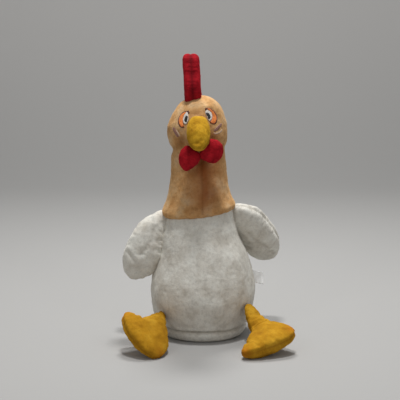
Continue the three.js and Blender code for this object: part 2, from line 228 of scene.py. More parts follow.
def lumps(points, size, seed):
    """Smooth noise from -1 to 1 at each point, with lumps about size millimetres across."""
    shift = Vector((seed * 17.3, seed * 5.1, seed * 9.7))
    return np.array([noise.noise(Vector(p) / size + shift) for p in points])


def attribute(obj, name):
    """A number per point that the materials read, made as zeros the first time."""
    found = obj.data.attributes.get(name)
    return found or obj.data.attributes.new(name, "FLOAT", "POINT")


def values_of(obj, name):
    values = np.zeros(len(obj.data.vertices), np.float32)
    attribute(obj, name).data.foreach_get("value", values)
    return values


def add_to(obj, name, values):
    total = np.clip(values_of(obj, name) + values, 0, 1)
    attribute(obj, name).data.foreach_set("value", total.astype(np.float32))


def distance_to(line, points):
    """How far each point is from a line given by close points."""
    tree = KDTree(len(line))
    for k, p in enumerate(line):
        tree.insert(Vector(p), k)
    tree.balance()
    return np.array([tree.find(Vector(p))[2] for p in points])


def seam(obj, line, width=1.3, depth=1.1, roll=0.35, gather=0.5, seed=1, dark=0.7):
    """Draws the cloth in along a sewn line, with a soft roll on both sides and small gathers, and
    paints shade along the line.
    """
    points = points_of(obj)
    away = distance_to(smooth_line(line, 0.5), points)
    near = np.exp(-((away / width) ** 2))
    side = np.exp(-(((away - 2.6 * width) / (1.3 * width)) ** 2))
    gathers = lumps(points, 3.6, seed) * np.exp(-away / (3.2 * width))
    push(obj, -depth * near + roll * side + gather * gathers)
    # painted shade along the sewn line
    add_to(obj, "painted_shade", near * dark)


def dent(obj, middle, size, depth):
    """Presses one soft hollow into the cloth, or a bump where the depth is negative. A hollow also gets
    painted shade.
    """
    away = np.linalg.norm((points_of(obj) - np.array(middle)) / np.array(size), axis=1)
    push(obj, -depth * np.exp(-(away**2)))
    # painted shade in a hollow
    if depth > 0:
        add_to(obj, "painted_shade", 0.35 * np.exp(-((away * 1.4) ** 2)))


def lump(obj, *layers):
    """Makes the cloth lumpy. Each layer is a height, a size and a seed."""
    points = points_of(obj)
    push(obj, sum(height * lumps(points, size, seed) for height, size, seed in layers))


def pile(obj, seed, height=1.0):
    """The small tufts of short plush."""
    lump(obj, (0.26 * height, 4.2, seed), (0.2 * height, 2.1, seed + 3))


def subdivide(obj):
    """Subdivides the object's mesh once."""
    modifier = obj.modifiers.new("finer", "SUBSURF")
    modifier.levels = modifier.render_levels = 1
    graph = bpy.context.evaluated_depsgraph_get()
    mesh = bpy.data.meshes.new_from_object(obj.evaluated_get(graph))
    obj.modifiers.clear()
    obj.data = mesh
    mesh.shade_smooth()


# ---------- materials ----------


def link(tree, a, out, b, into):
    tree.links.new(a.outputs[out], b.inputs[into])


def set_inputs(made, inputs):
    for socket, value in inputs.items():
        made.inputs[socket].default_value = value


def node(tree, kind, inputs=None, **settings):
    made = tree.nodes.new(kind)
    for key, value in settings.items():
        setattr(made, key, value)
    set_inputs(made, inputs or {})
    return made


def noise_node(tree, coords, size, detail, rough=0.55):
    inputs = {"Scale": 1 / (size * MM), "Detail": detail, "Roughness": rough}
    made = node(tree, "ShaderNodeTexNoise", inputs)
    link(tree, coords, "Object", made, "Vector")
    return made


def ramp(tree, source, stops, out="Fac"):
    made = node(tree, "ShaderNodeValToRGB")
    while len(made.color_ramp.elements) < len(stops):
        made.color_ramp.elements.new(0.5)
    for element, (at, colour) in zip(made.color_ramp.elements, stops):
        element.position = at
        element.color = (*colour, 1)
    link(tree, source, out, made, "Fac")
    return made


# the Mix node has a socket of each name for every kind of data: these are the colour ones
MIX_FACTOR, MIX_A, MIX_B, MIX_RESULT = 0, 6, 7, 2


def blend_colour(tree, kind, amount, a, b):
    """A colour mix, as a (node, output) pair. Each input is such a pair, a number or a colour."""
    made = node(tree, "ShaderNodeMix", data_type="RGBA", blend_type=kind)
    for socket, value in ((MIX_FACTOR, amount), (MIX_A, a), (MIX_B, b)):
        if isinstance(value, tuple) and isinstance(value[0], bpy.types.Node):
            link(tree, *value, made, socket)
        elif isinstance(value, tuple):
            made.inputs[socket].default_value = (*value, 1)
        else:
            made.inputs[socket].default_value = value
    return made, MIX_RESULT


def grey(level):
    return (level, level, level)


def cloth_material(name):
    """An empty material, its tree and its object coordinates."""
    material = bpy.data.materials.new(name)
    material.use_nodes = True
    tree = material.node_tree
    tree.nodes.clear()
    return material, tree, node(tree, "ShaderNodeTexCoord")


def surface(tree, colour, height, strength, distance, inputs):
    """Joins a colour and a bump height, each a (node, output) pair, to a shader."""
    bump = node(tree, "ShaderNodeBump", {"Strength": strength, "Distance": distance * MM})
    link(tree, *height, bump, "Height")
    shader = node(tree, "ShaderNodeBsdfPrincipled", inputs)
    link(tree, *colour, shader, "Base Color")
    link(tree, bump, "Normal", shader, "Normal")
    out = node(tree, "ShaderNodeOutputMaterial")
    link(tree, shader, "BSDF", out, "Surface")


def mix_by(tree, name, below, colour):
    """Mixes a colour in where the mesh's attribute says."""
    at = node(tree, "ShaderNodeAttribute", attribute_name=name)
    return blend_colour(tree, "MIX", (at, "Fac"), below, linear(colour))


def linear(colour):
    """An sRGB colour of 0 to 255 as Blender's linear colour."""
    parts = [c / 255 for c in colour]
    return tuple(c / 12.92 if c <= 0.04045 else ((c + 0.055) / 1.055) ** 2.4 for c in parts)


def plush(name, light, base, dark, painted_shade, tint_and_shade=None, patch=14, sheen=0.35, flecked=0.62):
    """Short plush: mottled where the pile lies different ways, with painted shade in the seams and
    hollows.
    """
    material, tree, coords = cloth_material(name)
    broad = noise_node(tree, coords, patch, 3)
    tufts = noise_node(tree, coords, 3.4, 4, 0.62)
    fibres = noise_node(tree, coords, 0.7, 3, 0.7)
    colour = ramp(tree, broad, [(0.3, linear(dark)), (0.5, linear(base)), (0.7, linear(light))])
    flecks = ramp(tree, tufts, [(0.34, grey(0.62)), (0.52, grey(0.94)), (0.72, grey(1))])
    mottled = blend_colour(tree, "MULTIPLY", flecked, (colour, "Color"), (flecks, "Color"))
    fine = ramp(tree, fibres, [(0.3, grey(0.74)), (0.62, grey(1))])
    result = blend_colour(tree, "MULTIPLY", 0.5, mottled, (fine, "Color"))
    # painted shadow down the front of the neck, and the toe tips' own colour
    if tint_and_shade:
        result = mix_by(tree, "tint_and_shade", result, tint_and_shade)
    # painted shade in the seams, the hollows and round the embroidery
    result = mix_by(tree, "painted_shade", result, painted_shade)
    height = node(tree, "ShaderNodeMath", {1: 2.2}, operation="MULTIPLY_ADD")
    link(tree, tufts, "Fac", height, 0)
    link(tree, fibres, "Fac", height, 2)
    inputs = {
        "Roughness": 0.92, "Specular IOR Level": 0.12, "Sheen Weight": sheen,
        "Sheen Roughness": 0.45, "Sheen Tint": (*linear(light), 1),
    }
    surface(tree, result, (height, 0), 0.55, 0.5, inputs)
    return material


def thread(name, base, dark, light):
    """Satin stitch: glossy twisted thread lying side by side, with painted shade round a patch's edge.
    The ridges are in the mesh.
    """
    material, tree, coords = cloth_material(name)
    strands = noise_node(tree, coords, 0.45, 3, 0.6)
    patches = noise_node(tree, coords, 3, 2)
    colour = ramp(tree, strands, [(0.3, linear(dark)), (0.52, linear(base)), (0.75, linear(light))])
    worn = ramp(tree, patches, [(0.35, grey(0.75)), (0.6, grey(1))])
    result = blend_colour(tree, "MULTIPLY", 0.6, (colour, "Color"), (worn, "Color"))
    # painted shade round the patch's edge
    result = mix_by(tree, "painted_shade", result, dark)
    inputs = {"Roughness": 0.48, "Specular IOR Level": 0.45, "Sheen Weight": 0.15}
    surface(tree, result, (strands, "Fac"), 0.4, 0.12, inputs)
    return material


def woven(name, base, dark):
    """Thin woven tape, for the label."""
    material, tree, coords = cloth_material(name)
    inputs = {"Scale": 0.35 / MM, "Distortion": 1.5}
    weave = node(tree, "ShaderNodeTexWave", inputs, wave_type="BANDS", bands_direction="Z")
    link(tree, coords, "Object", weave, "Vector")
    grime = noise_node(tree, coords, 4, 3)
    colour = ramp(tree, grime, [(0.3, linear(dark)), (0.65, linear(base))])
    surface(tree, (colour, "Color"), (weave, "Fac"), 0.3, 0.1, {"Roughness": 0.7})
    return material


# the fifth colour of each plush is the colour of its painted shade in seams and hollows
WHITE = plush(
    "white_plush", (230, 228, 219), (218, 214, 204), (202, 196, 184), (146, 137, 122), flecked=0.4
)
# its last colour is painted shadow down the front of the neck, partly also the pile lying the other way
TAN = plush(
    "tan_plush", (213, 179, 136), (205, 160, 108), (182, 134, 82), (120, 76, 38), tint_and_shade=(134, 70, 28)
)
YELLOW = plush(
    "yellow_plush", (200, 152, 42), (182, 132, 28), (160, 112, 20), (128, 80, 12),
    tint_and_shade=(186, 98, 24), flecked=0.4,
)
BEAK_YELLOW = plush(
    "beak_plush", (210, 166, 52), (192, 146, 34), (166, 120, 22), (124, 82, 12), tint_and_shade=(190, 120, 24)
)
RED = plush(
    "red_plush", (186, 30, 42), (164, 20, 32), (136, 12, 24), (76, 6, 14), patch=9, sheen=0.2
)
ORANGE_THREAD = thread("orange_thread", (238, 132, 50), (170, 72, 20), (250, 180, 104))
WHITE_THREAD = thread("white_thread", (226, 220, 210), (160, 140, 126), (246, 244, 240))
BLACK_THREAD = thread("black_thread", (16, 13, 12), (6, 5, 5), (36, 30, 28))
BROWN_THREAD = thread("brown_thread", (96, 40, 20), (52, 20, 12), (130, 66, 38))
MAUVE_THREAD = thread("mauve_thread", (150, 104, 88), (108, 70, 56), (184, 138, 120))
PALE_THREAD = thread("pale_thread", (206, 176, 146), (160, 126, 96), (226, 200, 176))
LABEL_CLOTH = woven("label_cloth", (250, 250, 248), (228, 228, 226))


def finish_piece(obj, material, slot, replaces=()):
    obj.data.materials.append(material)
    if replaces:
        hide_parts(*replaces)


def panels(name, one, other):
    """The CAD's pieces that a stuffed piece stands for."""
    return [f"{name}_{one}_panel", f"{name}_{other}_panel", f"{name}_stuffing"]


# ---------- body ----------


def body_x(z):
    part = min(max((z - SHIFT_FROM) / (SHIFT_TO - SHIFT_FROM), 0), 1)
    return BODY_SHIFT * part * part * (3 - 2 * part)


def head_x(z):
    known = np.array(HEAD_MIDDLE)
    return float(np.interp(z, known[:, 0], known[:, 1]))


# the side, the depth over the width, and the middle's x at a height
BODY = BODY_SIDE, BODY_DEPTH, body_x
HEAD = HEAD_SIDE, HEAD_DEPTH, head_x


def radius_at(form, z):
    known = np.array(form[0])
    return np.interp(z, known[:, 1], known[:, 0])


def side_line(form, turn, heights):
    """Points of the body's or the head's side, for a seam, at one turn or at a turn for each."""
    _, depth, middle = form
    r = radius_at(form, heights)
    x = np.array([middle(z) for z in heights])
    return np.column_stack([x + r * np.cos(turn), r * depth * np.sin(turn), heights])


def ring_of(form, cols, r, z):
    """A level ring of points round the body or the head, tilted near the collar."""
    _, depth, middle = form
    turn = np.arange(cols) * 2 * math.pi / cols
    fade = math.exp(-(((z - COLLAR_Z) / COLLAR_REACH) ** 2))
    height = z + (COLLAR_TILT * np.cos(turn) - COLLAR_DROP) * fade
    return np.column_stack([middle(z) + r * np.cos(turn), r * depth * np.sin(turn), height])


def make_body():
    floor = [(r, 0) for r in (3, 9, 15, 21, 27, 33, 36.5)]
    top = [(34.5, 134.2), (30, 134.6), (20, 134.8), (8, 135)]  # under the collar
    line = [*floor, *smooth_line(BODY_SIDE, SKIN_STEP), *top]
    obj = new_object("body_cover", *rings_mesh([ring_of(BODY, BODY_COLS, r, z) for r, z in line]))

    points = points_of(obj)
    upright = np.clip((points[:, 2] - 2) / 8, 0, 1)  # the base stays flat on the floor
    push(obj, upright * (1.3 * lumps(points, 30, 1) + 0.55 * lumps(points, 13, 2)))
    points = points_of(obj)
    low = np.exp(-(((points[:, 2] - 30) / 24) ** 2)) * (points[:, 1] < 0)
    push(obj, 1.2 * low)  # the pellets make the belly's foot bulge forward

    # gathers under the collar
    near = np.exp(-np.clip(COLLAR_Z - points[:, 2], 0, 99) / 7.5)
    push(obj, upright * 0.9 * near * lumps(points * (1, 1, 0.25), 5.2, 5))

    base = ring_of(BODY, 120, BASE_SEAM_R, BASE_SEAM_Z)
    seam(obj, [*base, base[0]], width=1.5, depth=2.0, roll=0.8, gather=0.5, seed=7)
    for k, turn in enumerate((0, math.pi / 2, math.pi)):
        line = side_line(BODY, turn, np.arange(14, 128, 4))
        seam(obj, line, width=1.2, depth=0.9, roll=0.4, gather=0.6, seed=8 + k, dark=0.45)

    for side in HAND:  # the legs pull the cloth in where they are sewn on
        dent(obj, joint_at(f"foot_{side}_lift") + (0, 2, 2), (9, 9, 9), 3)
    for side in HAND:  # and the wings do so just under the shoulder
        dent(obj, joint_at(f"wing_{side}_swing") * (0.86, 1, 1) + (0, 0, -9), (5, 9, 14), 1.4)
    pile(obj, 11)
    keep_above(obj, 0)
    finish_piece(
        obj, WHITE, "white_plush",
        ["body_front_panel", "body_back_left_panel", "body_back_right_panel", "bottom_panel",
         "body_stuffing", "pellet_bag"],
    )
    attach(obj, "torso")


def joint_at(name):
    """Where a joint is, in millimetres."""
    found = next(j for j in frame["joints"] if j["name"] == name)
    return np.array(found["pos_m"]) / MM


# ---------- neck and head ----------


def lean_x(z):
    return LEAN_X + LEAN * (z - COLLAR_Z)


def make_neck_and_head():
    inside_body = [(3, 131.8), (14, 132), (28, 132.4)]
    line = [*inside_body, *smooth_line(HEAD_SIDE, SKIN_STEP)]
    whole = new_object("whole", *rings_mesh([ring_of(HEAD, HEAD_COLS, r, z) for r, z in line]))

    lump(whole, (0.9, 22, 21), (0.4, 9, 22))
    points = points_of(whole)
    near = np.exp(-np.abs(points[:, 2] - COLLAR_Z) / 7)
    push(whole, 0.8 * near * lumps(points * (1, 1, 0.3), 5, 23))

    front = 1.5 * math.pi
    for turn, top, seed in ((front + 0.1, 204, 24), (math.pi / 2, 250, 25)):
        up = side_line(HEAD, turn, np.arange(137, top, 4))
        seam(whole, up, width=1.1, depth=0.6, roll=0.3, gather=0.5, seed=seed, dark=0.35)
    # the jowls: a crease under each cheek, deeper on the left
    turn = np.linspace(-0.95, 0.95, 12)
    for middle, z, depth in ((math.pi, 199.5, 1.1), (0, 201, 0.5)):
        across = side_line(HEAD, middle + turn, z + 9 * np.abs(turn) ** 1.5)
        seam(whole, across, width=3.2, depth=depth, roll=0.4, gather=0.3, seed=26, dark=0.25)
    # hollows between the cheeks and the beak and between the eyes, then a brow over each eye
    for x, z, size, depth in (
        (-17, 212, (6, 9, 8), 1.6), (14, 214, (5, 9, 9), 1.4), (-3, 240, (6, 8, 3.5), 0.7),
        (9, 246, (6, 8, 3), -0.9), (-13, 243, (6, 8, 3), -0.7),
    ):
        dent(whole, on_profile(x, z), size, depth)
    # the front of the neck is darkened: painted shadow from the head, and partly the pile lying the
    # other way
    points = points_of(whole)
    band = np.exp(-(((points[:, 0] - 1) / 16) ** 2)) * (points[:, 1] < 0)
    rise = np.clip((points[:, 2] - 134) / 22, 0, 1) * np.clip((203 - points[:, 2]) / 14, 0, 1)
    patchy = 0.85 + 0.3 * lumps(points * (1, 1, 0.4), 9, 28)
    add_to(whole, "tint_and_shade", NECK_SHADE * band * (0.25 + 0.75 * rise) * patchy * (points[:, 2] < 204))
    pile(whole, 27)
    return whole, len(line)


def on_profile(x, z):
    """The point of the face x from the head's centre line, at height z."""
    r = radius_at(HEAD, z)
    return np.array([head_x(z) + x, -HEAD_DEPTH * math.sqrt(max(r * r - x * x, 0)), z])


def split_head(whole, rows):
    """Cuts the tan cloth in two where nothing bends: the neck's part and the head's part."""
    cols = HEAD_COLS
    points, normals = points_of(whole), normals_of(whole)
    shades = {key: values_of(whole, key) for key in ("painted_shade", "tint_and_shade")}
    grid = points[: rows * cols].reshape(rows, cols, 3)
    cut = int(np.argmax(grid[:, :, 2].mean(axis=1) > SPLIT_Z))
    pieces = []
    ring = grid[cut]
    centre = ring.mean(axis=0)
    for name, first, last, lower in (
        ("neck_cover", 0, cut, True), ("head_cover", cut, rows - 1, False)
    ):
        # the cut is closed by rings that turn in, and sink into the piece that they belong to
        inner = [
            centre + (ring - centre) * share - (0, 0, drop if lower else -drop)
            for share, drop in ((0.93, 1.2), (0.6, 3), (0.1, 4))
        ]
        own = list(grid[first : last + 1])
        made = new_object(name, *rings_mesh(own + inner if lower else inner[::-1] + own))
        start = 0 if lower else len(inner) * cols
        here = slice(start, start + len(own) * cols)
        there = slice(first * cols, (last + 1) * cols)
        custom = normals_of(made)
        custom[here] = normals[there]
        for key, known in shades.items():
            shade = np.zeros(len(custom), np.float32)
            shade[here] = known[there]
            add_to(made, key, shade)
        made.data.normals_split_custom_set_from_vertices(custom.tolist())
        pieces.append(made)
    bpy.data.objects.remove(whole)
    return pieces


def face_tree(head):
    corners = [v.co[:] for v in head.data.vertices]
    return BVHTree.FromPolygons(corners, [p.vertices[:] for p in head.data.polygons])


def on_face(tree, x, z):
    """The point and the normal of the cloth at x from the face's middle, and height z."""
    origin = Vector((lean_x(z) + x, -100, z)) * MM
    spot, normal, _, _ = tree.ray_cast(origin, Vector((0, 1, 0)))
    return np.array(spot) / MM, np.array(normal)


# ---------- flat cuts: patches and cushions ----------


def inside(points, outline):
    """Which points lie inside a closed outline."""
    x, y = points[:, 0][:, None], points[:, 1][:, None]
    ax, ay = outline[:, 0], outline[:, 1]
    bx, by = np.roll(ax, -1), np.roll(ay, -1)
    crosses = (ay > y) != (by > y)
    with np.errstate(divide="ignore", invalid="ignore"):
        at = ax + (y - ay) * (bx - ax) / (by - ay)
    return (np.sum(crosses & (x < at), axis=1) % 2) == 1


def nearest(points, line):
    """How far each flat point is from the nearest point of a line."""
    return np.min(np.linalg.norm(points[:, None] - line[None], axis=2), axis=1)


def flat_cut(corners, step):
    """A triangle mesh of a flat shape, its edge's points first: gives points, faces, the number
    of points on the edge, and how far each point is from the edge."""
    edge = smooth_line(corners, step, closed=True)
    low, high = edge.min(axis=0), edge.max(axis=0)
    across = np.arange(low[0], high[0], step)
    up = np.arange(low[1], high[1], step * math.sqrt(3) / 2)
    grid = np.array([[x + (k % 2) * step / 2, y] for k, y in enumerate(up) for x in across])
    grid = grid[inside(grid, edge)]
    fine = smooth_line(corners, step / 4, closed=True)
    grid = grid[nearest(grid, fine) > 0.7 * step]
    points = np.concatenate([edge, grid])
    ring = list(range(len(edge)))
    out = delaunay_2d_cdt([Vector(p) for p in points], [], [ring], 1, 1e-6)
    points = np.array([p[:] for p in out[0]])
    away = nearest(points, fine)
    away[: len(edge)] = 0
    return points, [tuple(f) for f in out[2]], len(edge), away


def patch(name, tree, corners, lift, stitch, material, slot, replaces=(), domed=0.35):
    """An embroidered patch on the face. stitch is the angle that its threads run at, in degrees."""
    flat, faces, edge, away = flat_cut(corners, THREAD_STEP)
    turn = math.radians(stitch)
    along = flat[:, 0] * math.cos(turn) + flat[:, 1] * math.sin(turn)
    across = -flat[:, 0] * math.sin(turn) + flat[:, 1] * math.cos(turn)
    ridges = 0.09 * np.sin(across * 2 * math.pi / 1.1 + 0.5 * np.sin(along * 1.3))
    height = lift + domed * np.sqrt(np.clip(away / 1.2, 0, 1)) + ridges * np.clip(away / 0.4, 0, 1)
    top, below = [], []
    for (x, z), h in zip(flat, height):
        spot, normal = on_face(tree, x, z)
        top.append(spot + normal * h)
        below.append(spot - normal * 0.8)
    n = len(flat)
    rim = [(k, (k + 1) % edge, n + (k + 1) % edge, n + k) for k in range(edge)]
    (x, z), (next_x, next_z) = flat[:edge].T, np.roll(flat[:edge], -1, axis=0).T
    area = np.sum(x * next_z - next_x * z)
    solid = faces + [tuple(n + k for k in reversed(f)) for f in faces]
    solid += rim if area < 0 else [tuple(reversed(f)) for f in rim]
    obj = new_object(name, top + below, solid)
    # painted shade round the patch's edge
    add_to(obj, "painted_shade", np.r_[np.exp(-away / 0.35) * 0.6, np.zeros(n)])
    finish_piece(obj, material, slot, replaces=replaces)
    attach(obj, "head")


class Cushion:
    """Two flat cuts sewn round their edge and stuffed. Lives in (u, v, w) until it is placed."""

    def __init__(self, name, corners, heights, gathered=0.08, step=CUSHION_STEP, rim=None):
        """rim, where given, is how far in from the seam the cloth reaches its full height: such a
        cushion is a firm slab and needs no simulation."""
        self.heights = heights
        self.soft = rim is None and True
        flat, faces, edge, away = flat_cut(corners, step)
        n = len(flat)
        inwards = np.clip(away / (rim or away.max()), 0, 1)
        rise = np.sqrt(1 - (1 - inwards) ** 2)
        self.edge, self.outline = edge, flat[:edge].copy()
        share = 0.45 if self.soft else 1.0
        front = np.column_stack([flat, rise * heights[0] * share])
        back = np.column_stack([flat[edge:], -rise[edge:] * heights[1] * share])
        swap = [k if k < edge else n + k - edge for k in range(n)]
        both = faces + [tuple(swap[k] for k in reversed(f)) for f in faces]
        self.obj = new_object(name, np.concatenate([front, back]), both)
        if self.soft:
            self.obj.scale = (SIM_SCALE,) * 3
            group = self.obj.vertex_groups.new(name="seam")
            group.add(list(range(edge)), 1.0, "REPLACE")
            cloth = self.obj.modifiers.new("stuffed", "CLOTH")
            for key, value in STUFFING.items():
                setattr(cloth.settings, key, value)
            cloth.settings.shrink_max = gathered
            cloth.settings.effector_weights.gravity = 0
            cloth.collision_settings.use_collision = False

    def settle(self):
        """Takes the simulated shape and fits it back to the cut's outline and heights."""
        if self.soft:
            graph = bpy.context.evaluated_depsgraph_get()
            made = self.obj.evaluated_get(graph).to_mesh()
            points = vectors(made.vertices, "co") / MM
            self.obj.modifiers.clear()
            self.obj.scale = (1, 1, 1)
            moved = self.outline - points[: self.edge, :2]
            away = np.linalg.norm(points[:, None, :2] - points[None, : self.edge, :2], axis=2)
            pull = 1 / (away**2 + 4) ** 2
            points[:, :2] += (pull @ moved) / pull.sum(axis=1)[:, None]
            points[:, 2] -= points[: self.edge, 2].mean()
            w = points[:, 2]
            points[:, 2] = np.where(
                w > 0, w * self.heights[0] / w.max(), w * self.heights[1] / -w.min()
            )
            set_points(self.obj, points)

    def place(self, place, seed, **settings):
        """Moves it from (u, v, w) into the frame, makes it finer and draws in its sewn edge."""
        placed = np.array([place(*p) for p in points_of(self.obj)])
        set_points(self.obj, placed)
        face_outwards(self.obj)
        subdivide(self.obj)
        seam(self.obj, [*placed[: self.edge], placed[0]], seed=seed, **settings)
        return self.obj


def simulate():
    """Runs the cloth solver on every soft cushion at once."""
    for f in range(1, SIM_FRAMES + 1):
        bpy.context.scene.frame_set(f)


# ---------- limbs ----------

WING_CUTS = {
    "left": [
        [-2, -15], [5, -12], [10, -5], [15, 3], [19, 14], [20.6, 30], [20, 43], [18.4, 52],
        [14, 60], [8.5, 66], [0, 68.5], [-8.5, 63.5], [-15.5, 56], [-19.5, 47], [-19.5, 37],
        [-16.5, 25], [-14.5, 14], [-12, 3], [-10.5, -6], [-8, -13],
    ],
    "right": [
        [-6, -19], [2, -15], [8, -9], [13, 0], [16.5, 13], [18.5, 27], [19, 41], [17.5, 54],
        [13, 66], [6.5, 74], [-1, 76.5], [-8.5, 73], [-15, 65], [-19.5, 57], [-20, 46], [-19, 34],
        [-18.5, 22], [-18, 8], [-15.5, -5], [-12, -15],
    ],
}
# root is the shoulder. splay and swing are in degrees, outwards and back from straight down
WINGS = {
    "left": {"root": (-46.6, -2, 122), "splay": 25.5, "swing": -5},
    "right": {"root": (46.8, 2, 128.5), "splay": 22, "swing": 38},
}
WING_STITCHES = {
    "left": [
        [[1.2, 6], [0.6, 13.7], [-0.2, 19.5], [0.6, 26.2], [1.9, 33.4], [3.2, 38.5]],
        [[15.2, 42], [11, 44.6], [6, 47.3]],
    ],
    "right": [
        [[-3.8, 12.5], [-2.2, 19], [0.1, 26], [2.4, 32], [4.5, 37.7], [6.3, 44]],
        [[3.6, 48.3], [5.8, 55], [8.2, 61.6]],
    ],
}
FEET = {
    "left": {
        "root": (-45, -32.5, 28.45), "out": (-0.756, 0.24, 0.609), "forward": (-0.334, -0.937, -0.1),
    },
    "right": {
        "root": (46, -33, 29.62), "out": (0.933, 0.282, 0.229), "forward": (0.276, -0.92, -0.246),
    },
}
FOOT_CUTS = {
    "left": [
        [0, -17], [-4.5, -15], [-6.5, -4], [-8.5, 4], [-13, 14], [-19.5, 24], [-26, 33],
        [-30.5, 43], [-31.5, 52], [-29.5, 61], [-20, 66], [-8, 66.5], [3, 63.5], [12.5, 58.5],
        [20.5, 52], [26, 46], [26.8, 39.5], [23, 35.5], [17, 32], [11, 27], [7, 19.5], [4.8, 11],
        [3.8, 3], [3.8, -5], [3.5, -15],
    ],
    "right": [
        [5, -9], [0.5, -7], [-3, 5], [-4.4, 18], [-5.5, 28], [-9.5, 36], [-15.5, 45.5],
        [-22, 53], [-26.5, 59], [-25.5, 65.5], [-18, 68], [-8, 68], [4, 67], [16, 65], [26, 61],
        [33, 56], [35.5, 50], [31.5, 43], [25, 32.5], [19, 24], [14.8, 15.5], [12, 5], [9.6, -6],
    ],
}
TOE_TIPS = {"left": [[24, 43], [-27, 56]], "right": [[31, 51], [-24, 63]]}
TOE_TIP = 6  # how far the backing shows round a toe's tip
# how high the cloth is stuffed on each face of a foot
FOOT_HEIGHTS = {"left": (15, 8.5), "right": (9, 15)}
FOOT_DROP = {"left": 5, "right": 2}  # how far the sewn edge lies below the leg's axis
# the comb's cut is in y and z, and the wattles' cuts are in x and z
COMB_CUT = [
    [21, 240], [25, 248], [27.4, 256], [28, 265], [27.4, 275], [23.6, 282.6], [17.4, 283.6],
    [13, 281.4], [10.8, 289], [6.4, 297.5], [0, 300.4], [-6.6, 297.6], [-11, 290], [-12.8, 280.5],
    [-15.6, 276], [-17.6, 268.5], [-17.6, 260.5], [-14.5, 254], [-11.5, 249], [-10, 244], [0, 244],
    [11, 244],
]
WATTLE_CUTS = {
    "left": [
        [3.6, 199.5], [-0.6, 203.4], [-5, 206.8], [-9.8, 208.8], [-14.4, 205], [-17.4, 199.6],
        [-18.4, 194], [-17.8, 189], [-15.2, 184.4], [-10.4, 181.6], [-4.6, 184], [0.2, 188],
        [3.4, 192.4], [4.6, 196],
    ],
    "right": [
        [3, 198], [4.6, 194.6], [9.9, 192], [16.6, 189.6], [21.4, 190.6], [24.8, 193.6],
        [27.2, 197.8], [28, 202.4], [26.8, 208.6], [23.3, 212.6], [18.9, 214.6], [13.6, 214.4],
        [8.6, 209.6], [4.6, 203.4],
    ],
}
TAIL_HALF = [[5, -5], [9, 4], [15, 13], [20, 22], [17, 30], [10, 31], [6.5, 29], [4, 34]]
TAIL_CUT = [[-u, v] for u, v in TAIL_HALF] + [[0, 36.5]] + TAIL_HALF[::-1]


def frame_of(root, out, down, flip):
    """Turns (u, v, w) into a point: u across the limb, v along it, w towards its front."""
    along = np.array(down, float)
    along /= np.linalg.norm(along)
    across = np.array(out, float)
    across -= along * across.dot(along)
    across /= np.linalg.norm(across)
    normal = np.cross(across, along) * flip
    return lambda u, v, w: root + across * u + along * v + normal * w


def wing_frame(side):
    given = WINGS[side]
    s, w = math.radians(given["splay"]), math.radians(given["swing"])
    out = (HAND[side] * math.cos(s), -math.sin(s) * math.sin(w), math.sin(s) * math.cos(w))
    down = (HAND[side] * math.sin(s), math.cos(s) * math.sin(w), -math.cos(s) * math.cos(w))
    return frame_of(given["root"], out, down, -HAND[side])


def cut_cushions():
    made = {}
    for side in HAND:
        made[f"wing_{side}"] = Cushion(f"wing_{side}_cover", WING_CUTS[side], (16, 12))
        made[f"foot_{side}"] = Cushion(f"foot_{side}_cover", FOOT_CUTS[side], FOOT_HEIGHTS[side])
        made[f"wattle_{side}"] = Cushion(
            f"wattle_{side}_cover", WATTLE_CUTS[side], (7, 6), gathered=0.05, step=1.4
        )
    made["comb"] = Cushion("comb_cover", COMB_CUT, (8.8, 8.8), step=1.5, rim=7)
    made["tail"] = Cushion("tail_cover", TAIL_CUT, (7, 7), gathered=0.1, step=1.9)
    return made


def make_wings(cushions):
    for side, hand in HAND.items():
        place = wing_frame(side)
        edge = {"width": 1.2, "depth": 0.7, "roll": 0.2, "gather": 0.4, "dark": 0.4}
        obj = cushions[f"wing_{side}"].place(place, 31, **edge)
        lump(obj, (0.8, 17, 32), (0.35, 8, 33))
        for k, stitches in enumerate(WING_STITCHES[side]):
            for face in (1, -1):
                line = surface_line(obj, place, stitches, face)
                seam(obj, line, width=1.8, depth=1.0, roll=0.35, gather=0.7, seed=34 + k, dark=0.22)
        pile(obj, 36)
        finish_piece(obj, WHITE, "white_plush", panels(f"wing_{side}", "front", "back"))
        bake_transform(obj)


def surface_line(obj, place, points, face):
    """Points of a placed cushion's cloth over a (u, v) line, on its front (1) or its back (-1)."""
    tree = BVHTree.FromObject(obj, bpy.context.evaluated_depsgraph_get())
    line = []
    for u, v in points:
        start, end = place(u, v, 60 * face), place(u, v, 0)
        spot, _, _, _ = tree.ray_cast(Vector(start * MM), Vector(end - start).normalized())
        line.append(end if spot is None else np.array(spot) / MM)
    return line


def make_feet(cushions):
    for side, hand in HAND.items():
        given = FEET[side]
        at = frame_of(given["root"], given["out"], given["forward"], -hand)
        drop = FOOT_DROP[side]

        def place(u, v, w):
            return at(u, v, w - drop * min(max(v / 30, 0), 1))

        edge = {"width": 1.4, "depth": 0.9, "roll": 0.4, "gather": 0.6, "dark": 0.4}
        obj = cushions[f"foot_{side}"].place(place, 41, **edge)
        lump(obj, (0.6, 18, 42), (0.2, 8, 43))
        for u, v in TOE_TIPS[side]:  # the toe tips are drawn in and show the backing
            points = points_of(obj)
            away = np.linalg.norm(points - place(u, v, 1), axis=1)
            near = np.exp(-((away / TOE_TIP) ** 2))
            push(obj, near * 0.9 * lumps(points, 3.1, 44))
            add_to(obj, "tint_and_shade", 0.5 * near)
        dent(obj, place(-2, 46, 9), (8, 8, 5), 1.3)
        pile(obj, 45, 0.6)
        keep_above(obj, 0.15)
        finish_piece(obj, YELLOW, "yellow_plush", panels(f"foot_{side}", "top", "sole"))
        start, end = (place(0, v, 0) * MM for v in FOOT_BEND)
        tuple(start)
        tuple(end)
        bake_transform(obj)


